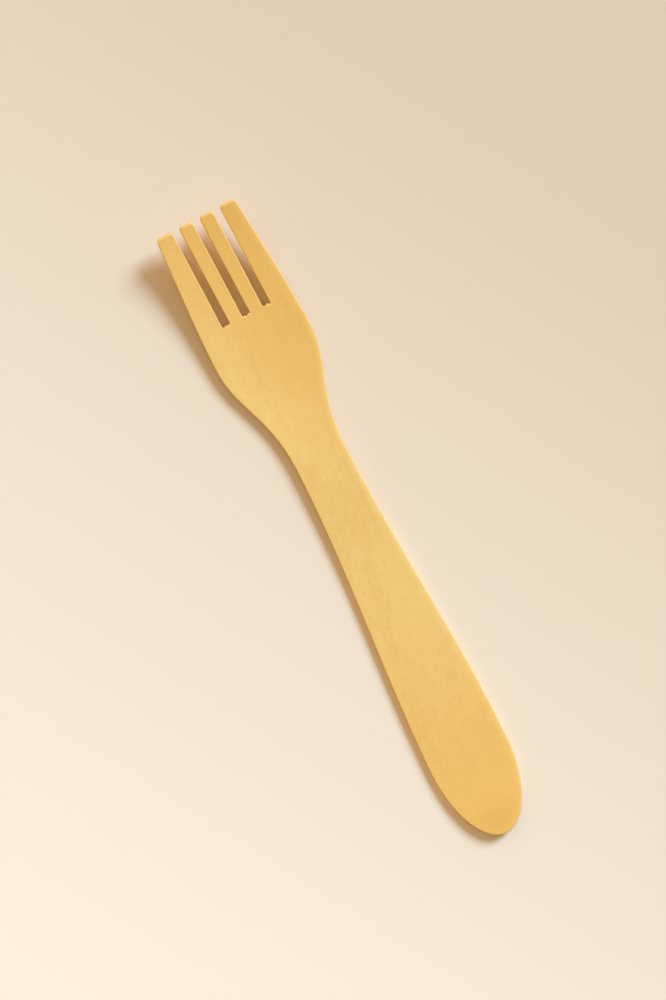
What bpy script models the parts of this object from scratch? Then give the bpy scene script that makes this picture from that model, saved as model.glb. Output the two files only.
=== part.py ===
# A disposable wooden fork, cut and pressed from one sheet of birch veneer.
# Metres, +Z up. The fork lies on its underside, with its handle towards -Y and its tines towards +Y,
# and the origin is under the middle of its bounding box.

import math

import bmesh
import bpy
import numpy as np
from mathutils import Matrix, Vector
from mathutils.geometry import interpolate_bezier

# The sheet, and the outline cut from it. A name that ends in _AT is a distance from the handle's end.
FORK_LENGTH = 0.1600
THICKNESS = 0.0017
HANDLE_WIDTH = 0.0193
HANDLE_END_LENGTH = 0.0203  # half the length of the ellipse that ends the handle
NECK_WIDTH = 0.0124
NECK_AT = 0.0964
HEAD_WIDTH = 0.0244
HEAD_AT = 0.1265
TIP_WIDTH = 0.0205  # across all four tines, at their tips
SIDE_BOW = 0.00105  # how far the middle stands to the right of the line between the ends

# The tines and the slots between them.
TINES = 4
SLOT_WIDTH = 0.0020
SLOT_MOUTH_WIDTH = 0.0019
SLOT_PITCH = 0.00536
SLOT_LENGTH = 0.0248
TIP_CORNER = 0.0007
OUTER_TIP_CORNER = 0.0009
EDGE_ROUND = 0.00025

# The pressed side view: the height of the underside, along the middle.
END_LIFT = 0.0009
FLAT_START_AT = 0.0200
FLAT_END_AT = 0.0620
NECK_LIFT = 0.0005
NECK_LIFT_AT = 0.0940
BOWL_AT = 0.1150  # where the bowl touches the table
TIP_LIFT = 0.0060
TIP_RISE = 0.31  # slope of the tines at their tips

# The pressed cross-section: how far the edges stand above the middle.
DISH_START_AT = 0.0880
DISH_FULL_AT = 0.1180
BOWL_DISH = 0.00045
TIP_DISH = 0.0004

# How far each bend of the outline reaches towards the next one, as a share of the way.
EVEN_REACH = 1 / 3
NECK_REACH = 0.51
TIP_TAPER = -0.062  # slope of the head's edges at the tips

# The mesh: its rows run across the fork and its columns along it.
ROW_PITCH = 0.0020
END_ROWS = 9
OUTER_TINE_COLUMNS = 3
INNER_TINE_COLUMNS = 2
CORNER_SEGMENTS = 3
EDGE_SEGMENTS = 2
CURVE_POINTS = 40

WOOD_COLOUR = (0.80, 0.55, 0.24, 1.0)
WOOD_ROUGHNESS = 0.62
SHARP_ANGLE = math.radians(50)

SLOT_ROOT_AT = FORK_LENGTH - SLOT_LENGTH


def clear_scene():
    for thing in list(bpy.data.objects):
        bpy.data.objects.remove(thing, do_unlink=True)


def smooth_curve(knots):
    """Places and values along Bezier spans. A knot is its place, value, slope, and reach each way."""
    points = []
    for (start, low, rise, _, ahead), (end, high, fall, back, _) in zip(knots, knots[1:]):
        ahead, back = ahead * (end - start), back * (end - start)
        first = (start, low), (start + ahead, low + rise * ahead)
        last = (end - back, high - fall * back), (end, high)
        points += interpolate_bezier(*first, *last, CURVE_POINTS)
    return np.array(points).T


def plain_knot(place, value, slope=0.0):
    return place, value, slope, EVEN_REACH, EVEN_REACH


OUTLINE = smooth_curve([
    plain_knot(HANDLE_END_LENGTH, HANDLE_WIDTH / 2),
    (NECK_AT, NECK_WIDTH / 2, 0, EVEN_REACH, NECK_REACH),
    plain_knot(HEAD_AT, HEAD_WIDTH / 2),
    plain_knot(FORK_LENGTH, TIP_WIDTH / 2, TIP_TAPER),
])

SIDE_VIEW = smooth_curve([
    plain_knot(0, END_LIFT, -2 * END_LIFT / FLAT_START_AT),
    plain_knot(FLAT_START_AT, 0),
    plain_knot(FLAT_END_AT, 0),
    plain_knot(NECK_LIFT_AT, NECK_LIFT),
    plain_knot(BOWL_AT, 0),
    plain_knot(FORK_LENGTH, TIP_LIFT, TIP_RISE),
])

DISH = smooth_curve([
    plain_knot(DISH_START_AT, 0),
    plain_knot(DISH_FULL_AT, BOWL_DISH),
    plain_knot(FORK_LENGTH, TIP_DISH),
])


def half_width(along):
    return np.interp(along, *OUTLINE)


def cut_lines(along):
    """The two edges, and the lines between them that the sides of the slots follow, from left to right."""
    if along < SLOT_ROOT_AT:
        return cut_lines(SLOT_ROOT_AT) * half_width(along) / half_width(SLOT_ROOT_AT)
    centres = (np.arange(TINES - 1) - (TINES - 2) / 2) * SLOT_PITCH
    opened = (along - SLOT_ROOT_AT) / SLOT_LENGTH
    half_slot = (SLOT_WIDTH + (SLOT_MOUTH_WIDTH - SLOT_WIDTH) * opened) / 2
    sides = np.column_stack([centres - half_slot, centres + half_slot]).ravel()
    return np.concatenate([[-half_width(along)], sides, [half_width(along)]])


def strip_columns():
    """How many columns each tine and slot takes, from left to right."""
    inner = [1, INNER_TINE_COLUMNS] * (TINES - 2) + [1]
    return [OUTER_TINE_COLUMNS, *inner, OUTER_TINE_COLUMNS]


def column_places(along):
    lines = cut_lines(along)
    strips = zip(lines, lines[1:], strip_columns())
    places = [np.linspace(left, right, columns, endpoint=False) for left, right, columns in strips]
    return np.concatenate([*places, lines[-1:]])


def row_places():
    """Distances of the rows from the handle's end, with one row on the slots' roots."""
    rows = [np.linspace(0, HANDLE_END_LENGTH, END_ROWS, endpoint=False)]
    for start, end in ((HANDLE_END_LENGTH, SLOT_ROOT_AT), (SLOT_ROOT_AT, FORK_LENGTH)):
        rows.append(np.linspace(start, end, round((end - start) / ROW_PITCH), endpoint=False))
    return np.concatenate([*rows, [FORK_LENGTH]])


def rounded_end(across, along):
    """A point of the straight grid, moved so that the grid's end becomes half an ellipse."""
    share = across / half_width(along)
    back = 1 - along / HANDLE_END_LENGTH
    across *= math.sqrt(1 - back**2 / 2)
    return across, HANDLE_END_LENGTH * (1 - back * math.sqrt(1 - share**2 / 2))


def cut_sheet():
    """The flat blank: a grid laid out to the outline, with the slots cut out and the tips' corners rounded."""
    rows = row_places()
    sheet = bmesh.new()
    bmesh.ops.create_grid(
        sheet, x_segments=sum(strip_columns()), y_segments=len(rows) - 1, size=1
    )
    columns = sorted({round(v.co.x, 5) for v in sheet.verts})
    lines = sorted({round(v.co.y, 5) for v in sheet.verts})
    for vertex in sheet.verts:
        column = columns.index(round(vertex.co.x, 5))
        along = rows[lines.index(round(vertex.co.y, 5))]
        across = column_places(along)[column]
        if along < HANDLE_END_LENGTH:
            across, along = rounded_end(across, along)
        vertex.co = across, along, 0
    slots = [face for face in sheet.faces if in_a_slot(face.calc_center_median())]
    bmesh.ops.delete(sheet, geom=slots, context="FACES")
    round_tips(sheet)
    return sheet


def in_a_slot(point):
    if point.y < SLOT_ROOT_AT:
        return False
    return np.searchsorted(cut_lines(point.y), point.x) % 2 == 0


def round_tips(sheet):
    """Rounds the two corners of each tip, the outer corners of the outer tines more."""
    corners = [v for v in sheet.verts if v.co.y > FORK_LENGTH - EDGE_ROUND and len(v.link_faces) == 1]
    widest = max(v.co.x for v in corners)
    outer = [v for v in corners if abs(v.co.x) > widest - EDGE_ROUND]
    inner = [v for v in corners if v not in outer]
    for group, radius in ((outer, OUTER_TIP_CORNER), (inner, TIP_CORNER)):
        bmesh.ops.bevel(
            sheet, geom=group, offset=radius, segments=CORNER_SEGMENTS, profile=0.5, affect="VERTICES"
        )


def press(sheet):
    """Gives the blank its side view and its dished head."""
    for vertex in sheet.verts:
        across, along, _ = vertex.co
        share = across / half_width(along)
        dish = np.interp(along, *DISH) * share**2
        vertex.co.z = np.interp(along, *SIDE_VIEW) + dish


def bow(sheet):
    """Bends the fork in its own plane, each row staying square to the bent middle line."""
    for vertex in sheet.verts:
        share = 2 * vertex.co.y / FORK_LENGTH - 1
        turn = math.atan(-4 * SIDE_BOW * share / FORK_LENGTH)
        across = vertex.co.x
        vertex.co.x = SIDE_BOW * (1 - share**2) + across * math.cos(turn)
        vertex.co.y -= across * math.sin(turn)


def wood():
    material = bpy.data.materials.new("birch_veneer")
    material.use_nodes = True
    shader = material.node_tree.nodes["Principled BSDF"]
    shader.inputs["Base Color"].default_value = WOOD_COLOUR
    shader.inputs["Roughness"].default_value = WOOD_ROUGHNESS
    shader.inputs["Metallic"].default_value = 0.0
    material.diffuse_color = WOOD_COLOUR
    return material


def solid_fork(sheet):
    """The veneer's thickness on the pressed sheet, which is the underside, and the sanded edges."""
    mesh = bpy.data.meshes.new("fork")
    sheet.to_mesh(mesh)
    sheet.free()
    mesh.shade_smooth()
    mesh.set_sharp_from_angle(angle=SHARP_ANGLE)
    mesh.materials.append(wood())
    fork = bpy.data.objects.new("fork", mesh)
    veneer = fork.modifiers.new("Veneer", "SOLIDIFY")
    veneer.thickness = THICKNESS
    veneer.offset = 1
    veneer.use_even_offset = True
    edges = fork.modifiers.new("Sanded edges", "BEVEL")
    edges.width = EDGE_ROUND
    edges.segments = EDGE_SEGMENTS
    edges.limit_method = "ANGLE"
    edges.angle_limit = SHARP_ANGLE
    return fork


def centre(fork):
    """Moves the mesh so that the origin is under the middle of the finished solid."""
    bpy.context.view_layer.update()
    corners = [Vector(c) for c in fork.evaluated_get(bpy.context.evaluated_depsgraph_get()).bound_box]
    low = Vector(min(c[i] for c in corners) for i in range(3))
    high = Vector(max(c[i] for c in corners) for i in range(3))
    middle = (low + high) / 2
    fork.data.transform(Matrix.Translation((-middle.x, -middle.y, 0)))


def main():
    clear_scene()
    collection = bpy.data.collections.new("wooden_fork")
    bpy.context.scene.collection.children.link(collection)
    sheet = cut_sheet()
    press(sheet)
    bow(sheet)
    fork = solid_fork(sheet)
    collection.objects.link(fork)
    centre(fork)


main()
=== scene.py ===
import math

import bpy
from mathutils import Matrix, Vector


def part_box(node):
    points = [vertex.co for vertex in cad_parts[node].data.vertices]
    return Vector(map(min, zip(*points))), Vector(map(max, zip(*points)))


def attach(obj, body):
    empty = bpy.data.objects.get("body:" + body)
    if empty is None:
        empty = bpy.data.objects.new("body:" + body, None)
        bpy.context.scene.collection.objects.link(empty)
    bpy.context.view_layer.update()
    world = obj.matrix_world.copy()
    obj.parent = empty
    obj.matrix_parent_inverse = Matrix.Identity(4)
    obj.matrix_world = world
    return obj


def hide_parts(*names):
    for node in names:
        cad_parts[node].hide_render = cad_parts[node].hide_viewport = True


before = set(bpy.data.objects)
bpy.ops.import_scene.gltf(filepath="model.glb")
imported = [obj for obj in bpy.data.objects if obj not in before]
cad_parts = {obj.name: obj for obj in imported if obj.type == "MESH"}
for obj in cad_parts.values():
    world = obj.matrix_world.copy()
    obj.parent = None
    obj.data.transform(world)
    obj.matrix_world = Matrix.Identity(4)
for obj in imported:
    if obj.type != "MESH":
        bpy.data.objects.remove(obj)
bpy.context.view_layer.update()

print("frame loaded")


# Shared tools for node trees

class Wire:
    # A socket that does arithmetic: each operator adds a Math node to the socket's tree.
    def __init__(self, tree, socket=None):
        self.tree = tree
        self.socket = socket

    def node(self, kind, settings=None, inputs=None, output=0):
        # Any node: its settings go in first, then the values or links of its sockets
        made = self.tree.nodes.new(kind)
        for name, value in (settings or {}).items():
            if name == "stops":
                setStops(made.color_ramp, value)
            else:
                setattr(made, name, value)
        for key, value in (inputs or {}).items():
            socket = pickSocket(made.inputs, key)
            if isinstance(value, Wire):
                self.tree.links.new(value.socket, socket)
            else:
                socket.default_value = value
        return Wire(self.tree, pickSocket(made.outputs, output) if made.outputs else None)

    def math(self, operation, *others):
        return self.node("ShaderNodeMath", {"operation": operation}, dict(enumerate((self, *others))))

    def vector(self, operation, *others, output="Vector"):
        inputs = dict(enumerate((self, *others)))
        return self.node("ShaderNodeVectorMath", {"operation": operation}, inputs, output)

    def __add__(self, other):
        return self.math("ADD", other)

    def __sub__(self, other):
        return self.math("SUBTRACT", other)

    def __mul__(self, other):
        return self.math("MULTIPLY", other)

    def __truediv__(self, other):
        return self.math("DIVIDE", other)

    def __rsub__(self, other):
        return (self * -1.0).math("ADD", other)

    __radd__ = __add__
    __rmul__ = __mul__

    def part(self, axis):
        return self.node("ShaderNodeSeparateXYZ", inputs={0: self}, output=axis)

    def span(self, low, high, toLow=0.0, toHigh=1.0, smooth=False):
        # Carries low..high to toLow..toHigh, and holds the ends
        kind = {"interpolation_type": "SMOOTHSTEP" if smooth else "LINEAR"}
        return self.node("ShaderNodeMapRange", kind, {0: self, 1: low, 2: high, 3: toLow, 4: toHigh})

    def mixed(self, first, second):
        # A colour that goes from first to second as this wire goes from 0 to 1
        return self.node("ShaderNodeMix", {"data_type": "RGBA"},
                         {"Factor_Float": self, "A_Color": first, "B_Color": second}, "Result_Color")


def pickSocket(sockets, key):
    if isinstance(key, int):
        return sockets[key]
    return next(s for s in sockets if key in (s.identifier, s.name))


def setStops(ramp, stops):
    while len(ramp.elements) < len(stops):
        ramp.elements.new(1.0)
    for element, (place, colour) in zip(ramp.elements, stops):
        element.position = place
        element.color = colour


def srgb(red, green, blue):
    # A linear colour from the 0 to 255 numbers of a paint program
    shares = [part / 255 for part in (red, green, blue)]
    return tuple(s / 12.92 if s < 0.04 else ((s + 0.055) / 1.055) ** 2.4 for s in shares) + (1.0,)


def newMaterial(name):
    material = bpy.data.materials.new(name)
    material.use_nodes = True
    tree = material.node_tree
    return material, Wire(tree), tree.nodes["Principled BSDF"]


def link(wire, socket):
    wire.tree.links.new(wire.socket, socket)


# Stage: a pale floor with painted shade, darker on the lamp's side and lighter on the other, that runs out
# into a backdrop of the same colour

stage = {
    "floorSize": 6.0,
    "floorShadedTone": srgb(224, 206, 182),   # painted shade: the floor's darker tone on the lamp's side of the fork
    "floorLitTone": srgb(254, 242, 223),    # painted light: its lighter tone on the other side
    "toneTurn": 31.0,                  # the tones change along this direction, from +X towards +Y
    "toneFrom": -0.095,                # how far away from the lamp the two tones lie
    "toneTo": 0.130,
    "backdrop": srgb(240, 227, 209),
    "evenFrom": 0.15,                  # distance from the fork where the tones even out to the backdrop's
    "evenTo": 0.42,
    "fadeFrom": 0.35,                  # and where the floor's own light turns into the backdrop's
    "fadeTo": 1.6,
    "roughness": 0.75,
}

# Light: one soft lamp from the tines' right, and an even warm fill
light = {
    "azimuth": 20.5,                   # from +X towards +Y
    "elevation": 36.0,
    "softness": 25.0,                  # degrees across
    "fillShare": (0.572, 0.428, 0.256),  # of all the light on the floor; the lamp gives the rest
    "fillLean": (-0.15, 0.60, 0.0),    # how much stronger the fill comes from that side than from above
}


def makeFloor():
    bpy.ops.mesh.primitive_grid_add(x_subdivisions=8, y_subdivisions=8, size=stage["floorSize"])
    floor = bpy.context.object
    floor.name = "floor"
    material, wires, shader = newMaterial("paleFloor")
    place = wires.node("ShaderNodeTexCoord", output="Object")
    turn = math.radians(stage["toneTurn"])
    away = (-math.cos(turn), -math.sin(turn), 0)
    distance = place.vector("DOT_PRODUCT", away, output="Value")
    radius = place.vector("LENGTH", output="Value")
    # The floor's painted shade and light, from the darker tone on the lamp's side to the lighter one away
    # from it
    tone = distance.span(stage["toneFrom"], stage["toneTo"]).mixed(stage["floorShadedTone"], stage["floorLitTone"])
    even = radius.span(stage["evenFrom"], stage["evenTo"], smooth=True)
    link(even.mixed(tone, stage["backdrop"]), shader.inputs["Base Color"])
    shader.inputs["Roughness"].default_value = stage["roughness"]
    shader.inputs["Specular IOR Level"].default_value = 0.2
    seen = wires.node("ShaderNodeLightPath", output="Is Camera Ray")
    fade = radius.span(stage["fadeFrom"], stage["fadeTo"], smooth=True) * seen
    glow = wires.node("ShaderNodeEmission", inputs={"Color": stage["backdrop"]})
    lit = Wire(wires.tree, shader.outputs[0])
    surface = wires.node("ShaderNodeMixShader", inputs={0: fade, 1: lit, 2: glow})
    link(surface, wires.tree.nodes["Material Output"].inputs["Surface"])
    floor.data.materials.append(material)


def makeWorld():
    world = bpy.data.worlds.new("studio")
    world.use_nodes = True
    bpy.context.scene.world = world
    tree = world.node_tree
    tree.nodes.clear()
    wires = Wire(tree)
    camera, glossy, through = [wires.node("ShaderNodeLightPath", output=name)
                               for name in ("Is Camera Ray", "Is Glossy Ray", "Is Transmission Ray")]
    seen = camera.math("MAXIMUM", glossy).math("MAXIMUM", through)
    sight = wires.node("ShaderNodeTexCoord", output="Generated")
    lean = sight.vector("DOT_PRODUCT", light["fillLean"], output="Value")
    fillColour = (*light["fillShare"], 1.0)
    fill = wires.node("ShaderNodeBackground", inputs={"Color": fillColour, "Strength": 1 + lean})
    backdrop = wires.node("ShaderNodeBackground", inputs={"Color": stage["backdrop"]})
    mixed = wires.node("ShaderNodeMixShader", inputs={0: seen, 1: fill, 2: backdrop})
    wires.node("ShaderNodeOutputWorld", inputs={"Surface": mixed})


def makeLamp():
    # The lamp's share and the fill's add up to 1 on the level floor, so a colour renders as it is written
    elevation = math.radians(light["elevation"])
    azimuth = math.radians(light["azimuth"])
    share = [1 - part for part in light["fillShare"]]
    lamp = bpy.data.lights.new("keyLamp", "SUN")
    lamp.energy = math.pi * max(share) / math.sin(elevation)
    lamp.color = [part / max(share) for part in share]
    lamp.angle = math.radians(light["softness"])
    holder = bpy.data.objects.new("keyLamp", lamp)
    towards = Vector((math.cos(azimuth) * math.cos(elevation), math.sin(azimuth) * math.cos(elevation),
                      math.sin(elevation)))
    holder.matrix_world = Matrix.Translation(towards) @ towards.to_track_quat("Z", "Y").to_matrix().to_4x4()
    bpy.context.scene.collection.objects.link(holder)


makeFloor()
makeWorld()
makeLamp()
print("stage and light ready")


# Fork: one sheet of veneer, cut to an outline and pressed between dies

# Sizes are in metres, and a name that ends in At is a distance from the handle's end.
fork = {
    "length": 0.1600, "thickness": 0.0017, "sideBow": 0.00105,
    "handleWidth": 0.0193, "handleEnd": 0.0203,
    "neckWidth": 0.0124, "neckAt": 0.0964,
    "headWidth": 0.0244, "headAt": 0.1265,
    "tipWidth": 0.0205, "tipTaper": -0.062,
    "neckReach": 0.51, "evenReach": 1 / 3,
    "slotWidth": 0.0020, "slotMouth": 0.0019, "slotPitch": 0.00536, "slotLength": 0.0248,
    "tipCorner": 0.00075, "edgeRound": 0.00022,
    "wallSlope": 0.55,                 # a face whose normal rises less than this is part of the wall
    "endLift": 0.0009, "flatFrom": 0.0200, "flatTo": 0.0620,
    "neckLift": 0.0005, "neckLiftAt": 0.0940, "bowlAt": 0.1150, "tipLift": 0.0060, "tipRise": 0.31,
    "dishFrom": 0.0880, "dishFullAt": 0.1180, "bowlDish": 0.00045, "tipDish": 0.0004,
    "rollWidth": 0.0014, "rollDepth": 0.00009,   # the die leaves the edges a touch lower than the middle
    "teeth": 0.00010,                  # a slot's end is torn into teeth, this far in and out
    "fray": 0.00007,                   # and each differs by up to this much
    "seed": 7,
}

# How finely the sheet is divided: columns run along the fork and rows across it
forkMesh = {"slotColumns": 8, "cornerColumns": 3, "tineColumns": 4, "outerColumns": 7,
            "rowPitch": 0.00055, "edgeSegments": 3, "templateSteps": 64}


def templateCurve(name, knots):
    # A drawn Bezier line. A knot is its place, value, slope, and reach to each side as a share of the span.
    data = bpy.data.curves.new(name, "CURVE")
    data.resolution_u = forkMesh["templateSteps"]
    spline = data.splines.new("BEZIER")
    spline.bezier_points.add(len(knots) - 1)
    places = [knot[0] for knot in knots]
    gaps = [right - left for left, right in zip(places, places[1:])]
    for point, (place, value, slope, back, ahead), before, after in zip(
            spline.bezier_points, knots, [0.0, *gaps], [*gaps, 0.0]):
        point.co = (place, value, 0)
        point.handle_left = (place - back * before, value - slope * back * before, 0)
        point.handle_right = (place + ahead * after, value + slope * ahead * after, 0)
    curve = bpy.data.objects.new(name, data)
    bpy.context.scene.collection.objects.link(curve)
    return curve


def drawTemplates(f):
    even = f["evenReach"]

    def knot(place, value, slope=0.0, back=even, ahead=even):
        return place, value, slope, back, ahead

    over = 0.001   # the templates run a little past both ends of the fork
    start, end = -over, f["length"] + over
    tip = f["tipWidth"] / 2
    outline = [
        knot(start, f["handleWidth"] / 2),
        knot(f["handleEnd"], f["handleWidth"] / 2),
        knot(f["neckAt"], f["neckWidth"] / 2, ahead=f["neckReach"]),
        knot(f["headAt"], f["headWidth"] / 2),
        knot(f["length"], tip, f["tipTaper"]),
        knot(end, tip + f["tipTaper"] * over, f["tipTaper"]),
    ]
    endSlope = -2 * f["endLift"] / f["flatFrom"]
    side = [
        knot(start, f["endLift"] - endSlope * over, endSlope),
        knot(0, f["endLift"], endSlope),
        knot(f["flatFrom"], 0), knot(f["flatTo"], 0),
        knot(f["neckLiftAt"], f["neckLift"]), knot(f["bowlAt"], 0),
        knot(f["length"], f["tipLift"], f["tipRise"]),
        knot(end, f["tipLift"] + f["tipRise"] * over, f["tipRise"]),
    ]
    dish = [
        knot(start, 0), knot(f["dishFrom"], 0), knot(f["dishFullAt"], f["bowlDish"]),
        knot(f["length"], f["tipDish"]), knot(end, f["tipDish"]),
    ]
    return {name: templateCurve(name, knots)
            for name, knots in (("outline", outline), ("sideView", side), ("dish", dish))}


def roundedSquare(a, b):
    # Moves a point of a unit square so that the corner farthest from 0, 0 becomes a quarter round
    ring = a.math("MAXIMUM", b)
    turn = a.math("MINIMUM", b) / ring * (math.pi / 4)
    near, low = ring * turn.math("COSINE"), ring * turn.math("SINE")
    swap = (near - low) * b.math("GREATER_THAN", a)
    return near - swap, low + swap


def buildForkTree(f, m):
    # Lays a grid out to the outline, cuts the slots, marks the sanded edges, presses and bows the sheet
    tree = bpy.data.node_groups.new("pressedFork", "GeometryNodeTree")
    face = tree.interface
    face.new_socket("Geometry", in_out="OUTPUT", socket_type="NodeSocketGeometry")
    for name in ("outline", "sideView", "dish"):
        face.new_socket(name, in_out="INPUT", socket_type="NodeSocketObject")
    for name in ("length", "handleEnd", "slotWidth", "slotMouth", "slotPitch", "slotLength",
                 "tipCorner", "sideBow", "rollWidth", "rollDepth", "teeth", "fray"):
        face.new_socket(name, in_out="INPUT", socket_type="NodeSocketFloat")
    face.new_socket("seed", in_out="INPUT", socket_type="NodeSocketInt")
    face.new_socket("wood", in_out="INPUT", socket_type="NodeSocketMaterial")
    wires = Wire(tree)
    given = tree.nodes.new("NodeGroupInput")
    size = {socket.name: Wire(tree, socket) for socket in given.outputs if socket.name}
    slotRoot = size["length"] - size["slotLength"]
    corner = size["tipCorner"]

    # The strips from the middle line outwards: half a slot, a tine between corners, a slot, an outer tine
    slots, corners = m["slotColumns"], m["cornerColumns"]
    inner, outer = m["tineColumns"], m["outerColumns"]
    strips = [slots // 2, corners, inner, corners, slots, corners, outer, corners]
    halfColumns = sum(strips)
    stripEnds = [sum(strips[:i + 1]) for i in range(len(strips))]
    stripStarts = [0, *stripEnds[:-1]]

    # The grid: column runs from 0 in the middle to halfColumns at an edge, row from 0 at the handle's end
    bodyRows = round((f["length"] - f["slotLength"] - f["handleEnd"]) / m["rowPitch"])
    tineRows = round((f["slotLength"] - f["tipCorner"]) / m["rowPitch"])
    rowEnds = [halfColumns, halfColumns + bodyRows, halfColumns + bodyRows + tineRows]
    rows = rowEnds[2] + corners
    grid = wires.node("GeometryNodeMeshGrid", output="Mesh", inputs={
        "Size X": 2.0, "Size Y": 2.0, "Vertices X": 2 * halfColumns + 1, "Vertices Y": rows + 1})
    position = wires.node("GeometryNodeInputPosition")
    u, v = [position.part(axis) for axis in "XY"]
    column = u.math("ABSOLUTE") * halfColumns
    side = u.math("SIGN")
    row = (v + 1.0) * (rows / 2)

    # Where each row lies
    cap = row.span(rowEnds[2], rows)
    place = (size["handleEnd"]
             + row.span(rowEnds[0], rowEnds[1], 0.0, slotRoot - size["handleEnd"])
             + row.span(rowEnds[1], rowEnds[2], 0.0, size["slotLength"] - corner)
             + cap * corner)

    def readTemplate(name, at):
        # The line stands up as a ribbon, and a ray across it from each place finds the value there
        whole = {"transform_space": "ORIGINAL"}
        line = wires.node("GeometryNodeObjectInfo", whole, {0: size[name]}, "Geometry")
        edge = line.node("GeometryNodeCurveToMesh", inputs={0: line})
        upwards = edge.node("ShaderNodeCombineXYZ", inputs={2: 1.0})
        ribbon = edge.node("GeometryNodeExtrudeMesh", {"mode": "EDGES"}, {
            "Mesh": edge, "Offset": upwards}, "Mesh")
        start = at.node("ShaderNodeCombineXYZ", inputs={0: at, 1: -0.5, 2: 0.5})
        hit = ribbon.node("GeometryNodeRaycast", output="Hit Position", inputs={
            "Target Geometry": ribbon, "Source Position": start,
            "Ray Direction": (0, 1, 0), "Ray Length": 2.0})
        return hit.part("Y")

    # How wide the strips are there: below the slots all but the outermost narrow with the outline
    halfWidth = readTemplate("outline", place)
    scale = readTemplate("outline", place.math("MINIMUM", slotRoot)) / readTemplate("outline", slotRoot)
    opened = place.span(slotRoot, size["length"])
    halfSlot = (size["slotWidth"] + (size["slotMouth"] - size["slotWidth"]) * opened) * scale * 0.5
    cornerWidth = corner * scale
    tine = size["slotPitch"] * scale - (halfSlot + cornerWidth) * 2
    outerTine = halfWidth - size["slotPitch"] * scale - halfSlot - cornerWidth - corner
    widths = [halfSlot, cornerWidth, tine, cornerWidth, halfSlot * 2, cornerWidth, outerTine, corner]

    def stripShares(at):
        return [at.span(start, end) for start, end in zip(stripStarts, stripEnds)]

    def distanceOut(shares):
        return sum((share * width for share, width in zip(shares, widths)), start=side * 0.0)

    shares = stripShares(column)
    across = distanceOut(shares)

    # Each tip has two rounded corners, from the strips beside its walls and the last rows
    isInner = column.math("LESS_THAN", (stripEnds[3] + stripEnds[4]) / 2)
    outwards = shares[7] + shares[5] - 1
    toWall = outwards + (shares[3] + shares[1] - 1 - outwards) * isInner
    roundAcross, roundAlong = roundedSquare(toWall.math("ABSOLUTE"), cap)
    across = across + (roundAcross - toWall.math("ABSOLUTE")) * toWall.math("SIGN") * corner
    place = place + (roundAlong - cap) * corner

    # The handle's end is half an ellipse: the end rows and the columns meet in rings that follow its edge
    backShare = distanceOut(stripShares(halfColumns - row)) / halfWidth
    ringAcross, ringAlong = roundedSquare(across / halfWidth, backShare)
    fromEdge = (1 - (across / halfWidth).math("MAXIMUM", backShare)) * halfWidth
    across = ringAcross * halfWidth * side
    along = place - ringAlong * size["handleEnd"]

    # The slots' ends are torn, not cut
    def inStrip(start, end):
        return column.math("GREATER_THAN", start + 0.25) * column.math("LESS_THAN", end - 0.25)

    isSlot = inStrip(-1, stripEnds[0]) + inStrip(stripStarts[4], stripEnds[4])
    isRoot = (row - rowEnds[1]).math("ABSOLUTE").math("LESS_THAN", 0.25)
    tear = wires.node("FunctionNodeRandomValue", {"data_type": "FLOAT"},
                      {"Min_001": -1.0, "Max_001": 1.0, "Seed": size["seed"]}, "Value_001")
    toothed = (column * 0.5 + 0.125).math("MODULO", 2.0).math("FLOOR") * 2 - 1
    along = along + (tear * size["fray"] + toothed * size["teeth"]) * isSlot * isRoot

    # Pressed height, with edges a touch lower, then the bow to one side
    share = across / halfWidth
    roll = fromEdge.span(0.0, size["rollWidth"], 1.0, 0.0)
    height = (readTemplate("sideView", along) + readTemplate("dish", along) * share * share
              - roll * roll * size["rollDepth"])
    half = along / size["length"] * 2 - 1
    turn = (size["sideBow"] * half * -4 / size["length"]).math("ARCTANGENT")
    x = size["sideBow"] * (1 - half * half) + across * turn.math("COSINE")
    y = along - across * turn.math("SINE")
    pressed = wires.node("ShaderNodeCombineXYZ", inputs={0: x, 1: y, 2: height})

    # Slots are cut and edges marked on the flat grid, before its points move
    faceInSlot = isSlot * row.math("GREATER_THAN", rowEnds[1])
    cut = grid.node("GeometryNodeDeleteGeometry", {"domain": "FACE"}, {0: grid, 1: faceInSlot})
    isRim = wires.node("GeometryNodeInputMeshEdgeNeighbors").math("LESS_THAN", 1.5)
    sanded = cut.node("GeometryNodeStoreNamedAttribute", {"data_type": "FLOAT", "domain": "EDGE"}, {
        "Geometry": cut, "Name": "bevel_weight_edge", "Value": isRim * (1 - isRoot * isSlot)})
    marked = sanded.node("GeometryNodeStoreNamedAttribute", {"data_type": "FLOAT", "domain": "POINT"}, {
        "Geometry": sanded, "Name": "rim", "Value": roll})
    moved = marked.node("GeometryNodeSetPosition", inputs={"Geometry": marked, "Position": pressed})
    smooth = moved.node("GeometryNodeSetShadeSmooth", inputs={0: moved})
    real = smooth.node("GeometryNodeRealizeInstances", inputs={0: smooth})
    done = real.node("GeometryNodeSetMaterial", inputs={"Geometry": real, "Material": size["wood"]})
    end = tree.nodes.new("NodeGroupOutput")
    link(done, end.inputs[0])
    return tree


# Wood: pale birch, with the grain along the fork

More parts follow.
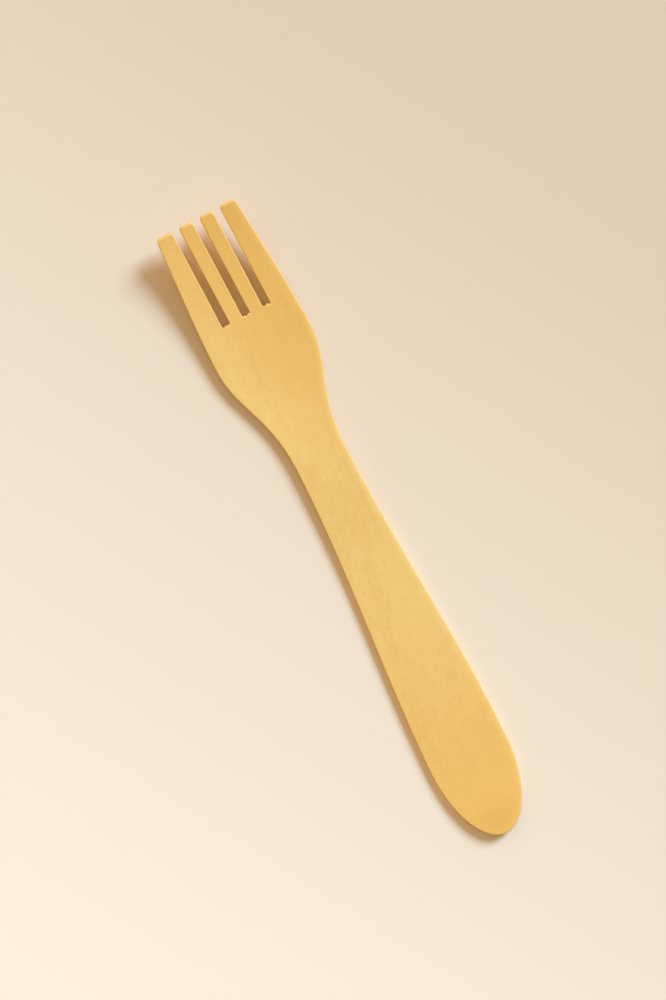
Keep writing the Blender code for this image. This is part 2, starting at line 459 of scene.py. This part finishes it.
# Grain is given as cells a metre: across, along and through the sheet. A zone is two places along the
# fork, in metres from its middle, between which a tint or a strength goes from its first value to its last.
birch = {
    "tones": [(0.00, srgb(214, 166, 88)), (0.30, srgb(232, 188, 107)), (0.50, srgb(238, 197, 117)),
              (0.72, srgb(242, 203, 125)), (1.00, srgb(248, 214, 141))],
    "warm": srgb(238, 184, 88),        # heartwood tint at the handle's end and across the head, on the head's right side partly painted shade
    "warmEnd": 0.60, "warmEndZone": (-0.020, -0.080),
    # Across the head the tint is partly heartwood and partly painted shade, strongest on the side of the
    # dish that faces away from the lamp
    "headWarmthAndShade": 0.50, "warmHeadZone": (0.012, 0.045),
    "warmHeadSide": (-0.008, 0.010), "headSlant": 0.10,
    "warmClouds": 0.25,
    "endBrowner": srgb(222, 166, 76),       # a darker, browner colour at the handle's very end
    "bakedShare": 0.50, "bakedZone": (-0.068, -0.080),
    "tipLight": srgb(254, 196, 100),      # painted light: lighter towards the tines' tips, evening out the shade of their upward slope
    "driedShare": 0.32, "driedZone": (0.042, 0.074),
    "rimHighlight": srgb(254, 211, 120),     # painted highlight: paler along the rim, where the rolled edges catch the light
    "rubbedShare": 0.32,
    "fibres": (2300, 800, 2300), "fibreShare": 0.40,
    "mottle": (560, 300, 560), "mottleShare": 0.34,
    "grainAtHead": 0.80, "grainAtEnd": 1.20, "grainZone": (0.040, -0.050),
    "figure": (320, 110, 320), "figureShare": 0.26,   # broad wavy figure, strongest in the head
    "figureLeast": 0.30, "figureZone": (-0.010, 0.035),
    "clouds": (60, 26, 60), "cloudShare": 0.30,
    "wander": (70, 16, 70), "wanderBy": 0.0016,   # how far the grain strays from a straight line
    "growth": (170, 34, 170), "growthLine": 0.05, "growthShare": 0.08,
    "pores": (1800, 430, 1800), "poreSize": 0.42, "poreChance": 0.14, "poreShare": 0.20,
    "flecks": (760, 300, 760), "fleckSize": 0.26, "fleckChance": 0.08, "fleckShare": 0.17,
    "edgeTones": [(0.0, srgb(214, 156, 72)), (0.5, srgb(243, 191, 96)), (1.0, srgb(251, 210, 120))],
    "edgeGrain": (1500, 45, 3200), "streakShare": 1.3,
    "edgePatches": (160, 160, 160), "patchShare": 0.5,
    "roughness": (0.56, 0.70), "edgeRoughness": 0.72,
    "shine": 0.3,
    "relief": 0.00005, "edgeRelief": 0.00008,
}


def noise(place, cells, detail=2.0, roughness=0.5):
    # Noise about zero, within half to each side
    cell = place.vector("MULTIPLY", cells)
    return place.node("ShaderNodeTexNoise", inputs={
        "Vector": cell, "Scale": 1.0, "Detail": detail, "Roughness": roughness}) - 0.5


def dashes(place, cells, chance, widest):
    # Short marks along the grain: a few cells of a stretched pattern each hold one
    pattern = {"Vector": place.vector("MULTIPLY", cells), "Scale": 1.0}
    middle = place.node("ShaderNodeTexVoronoi", {"feature": "F1"}, pattern, "Distance")
    lot = place.node("ShaderNodeTexVoronoi", {"feature": "F1"}, pattern, "Color")
    drawn = place.node("ShaderNodeSeparateColor", inputs={0: lot})
    chosen = drawn.math("LESS_THAN", chance)
    return middle.span(widest * 0.3, widest, 1.0, 0.0, smooth=True) * chosen


def makeBirchFace(b):
    material, wires, shader = newMaterial("birchFace")
    straight = wires.node("ShaderNodeTexCoord", output="Object")
    x, y = [straight.part(axis) for axis in "XY"]

    def inZone(name, at=y):
        return at.span(*b[name], smooth=True)

    # The grain, which wanders a little
    aside = straight.node("ShaderNodeCombineXYZ", inputs={0: noise(straight, b["wander"]) * b["wanderBy"]})
    place = straight.vector("ADD", aside)
    fibres = noise(place, b["fibres"], 3.0, 0.6)
    mottle = noise(place, b["mottle"], 3.0, 0.6)
    clouds = noise(straight, b["clouds"])
    strength = y.span(*b["grainZone"], b["grainAtHead"], b["grainAtEnd"])
    grain = (fibres * b["fibreShare"] + mottle * b["mottleShare"]) * strength
    figure = noise(place, b["figure"]) * y.span(*b["figureZone"], b["figureLeast"], 1.0)

    # Its darker marks: pores, flecks and the lines between years
    pores = dashes(place, b["pores"], b["poreChance"], b["poreSize"])
    flecks = dashes(place, b["flecks"], b["fleckChance"], b["fleckSize"])
    fromLine = noise(place, b["growth"]).math("ABSOLUTE")
    lines = fromLine.span(0.0, b["growthLine"], 1.0, 0.0, smooth=True)
    marks = pores * b["poreShare"] + flecks * b["fleckShare"] + lines * b["growthShare"]
    tone = 0.5 + grain + figure * b["figureShare"] + clouds * b["cloudShare"] - marks
    colour = wires.node("ShaderNodeValToRGB", {"stops": b["tones"]}, {0: tone})

    # The tints of the wood's regions: heartwood warmth that is partly painted shade on the head's right
    # side, a browner end, painted light towards the tips and a painted highlight along the rim
    headWarmthAndShade = inZone("warmHeadZone") * inZone("warmHeadSide", x + y * b["headSlant"]) * b["headWarmthAndShade"]
    warm = inZone("warmEndZone") * b["warmEnd"] + headWarmthAndShade + clouds * b["warmClouds"]
    tinted = warm.math("MAXIMUM", 0.0).mixed(colour, b["warm"])
    # A darker, browner colour at the handle's very end
    withBrownerEnd = (inZone("bakedZone") * b["bakedShare"]).mixed(tinted, b["endBrowner"])
    # Painted light towards the tines' tips
    tipLight = (inZone("driedZone") * b["driedShare"]).mixed(withBrownerEnd, b["tipLight"])
    # Painted highlight: the rim is paler on every edge alike, as the lit rolled edges are
    rim = wires.node("ShaderNodeAttribute", {"attribute_name": "rim"}, output="Fac")
    link((rim * b["rubbedShare"]).mixed(tipLight, b["rimHighlight"]), shader.inputs["Base Color"])

    low, high = b["roughness"]
    link(fibres.span(-0.2, 0.2, high, low), shader.inputs["Roughness"])
    shader.inputs["Specular IOR Level"].default_value = b["shine"]
    raised = fibres + mottle * 0.6 - marks
    relief = wires.node("ShaderNodeBump", inputs={
        "Strength": 0.5, "Distance": b["relief"], "Height": raised})
    link(relief, shader.inputs["Normal"])
    return material


def makeBirchEdge(b):
    material, wires, shader = newMaterial("birchEdge")
    place = wires.node("ShaderNodeTexCoord", output="Object")
    streaks = noise(place, b["edgeGrain"], 3.0, 0.6)
    tone = 0.55 + streaks * b["streakShare"] + noise(place, b["edgePatches"]) * b["patchShare"]
    colour = wires.node("ShaderNodeValToRGB", {"stops": b["edgeTones"]}, {0: tone})
    link(colour, shader.inputs["Base Color"])
    shader.inputs["Roughness"].default_value = b["edgeRoughness"]
    shader.inputs["Specular IOR Level"].default_value = b["shine"]
    relief = wires.node("ShaderNodeBump", inputs={
        "Strength": 0.5, "Distance": b["edgeRelief"], "Height": streaks})
    link(relief, shader.inputs["Normal"])
    return material


def makeFork(f, m):
    templates = drawTemplates(f)
    tree = buildForkTree(f, m)
    holder = bpy.data.objects.new("forkSheet", bpy.data.meshes.new("forkSheet"))
    bpy.context.scene.collection.objects.link(holder)
    sheet = holder.modifiers.new("Pressed fork", "NODES")
    sheet.node_group = tree
    values = {**f, **templates, "wood": makeBirchFace(birch)}
    for item in tree.interface.items_tree:
        if item.in_out == "INPUT":
            sheet[item.identifier] = values[item.name]
    veneer = holder.modifiers.new("Veneer", "SOLIDIFY")
    veneer.thickness = f["thickness"]
    veneer.offset = 1
    veneer.use_even_offset = True
    edges = holder.modifiers.new("Sanded edges", "BEVEL")
    edges.width = f["edgeRound"]
    edges.segments = m["edgeSegments"]
    edges.limit_method = "WEIGHT"
    edges.use_clamp_overlap = False
    mesh = asMesh(holder, "fork")
    mesh.materials.clear()
    for finish in (values["wood"], makeBirchEdge(birch)):
        mesh.materials.append(finish)
    for face in mesh.polygons:
        face.material_index = int(abs(face.normal.z) < f["wallSlope"])
    for guide in (holder, *templates.values()):
        bpy.data.objects.remove(guide, do_unlink=True)
    piece = bpy.data.objects.new("pressed_fork", mesh)
    bpy.context.scene.collection.objects.link(piece)
    centreOn(mesh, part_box("fork"))
    return piece


def asMesh(thing, name):
    bpy.context.view_layer.update()
    graph = bpy.context.evaluated_depsgraph_get()
    mesh = bpy.data.meshes.new_from_object(thing.evaluated_get(graph), depsgraph=graph)
    mesh.name = name
    return mesh


def centreOn(mesh, box):
    # Puts the middle of the mesh's box over the middle of another, and its lowest point at the other's
    places = [vertex.co for vertex in mesh.vertices]
    low = Vector(min(place[i] for place in places) for i in range(3))
    high = Vector(max(place[i] for place in places) for i in range(3))
    shift = (box[0] + box[1] - low - high) / 2
    shift.z = box[0].z - low.z
    mesh.transform(Matrix.Translation(shift))


forkPiece = makeFork(fork, forkMesh)
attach(forkPiece, "root")
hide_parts("fork")
wallFaces = sum(face.material_index for face in forkPiece.data.polygons)
print("fork made:", len(forkPiece.data.polygons), "faces,", wallFaces, "of them on the walls")


# Camera: straight above, turned so that the fork lies as photographed

view = {
    "distance": 0.700,
    "frameHeight": 0.2338,             # how much of the floor the picture's height takes in
    "turn": 26.9,                      # degrees that the fork leans left of upright
    "aim": (-0.0016, 0.0074, 0.0),
}


def makeCamera():
    camera = bpy.data.cameras.new("overhead")
    camera.sensor_fit = "VERTICAL"
    camera.lens = camera.sensor_height * view["distance"] / view["frameHeight"]
    camera.clip_start = 0.01
    camera.clip_end = 50
    holder = bpy.data.objects.new("overhead", camera)
    spot = Vector(view["aim"]) + Vector((0, 0, view["distance"]))
    holder.matrix_world = Matrix.Translation(spot) @ Matrix.Rotation(-math.radians(view["turn"]), 4, "Z")
    bpy.context.scene.collection.objects.link(holder)
    bpy.context.scene.camera = holder


makeCamera()
bpy.context.scene.view_settings.view_transform = "Standard"
print("camera set")
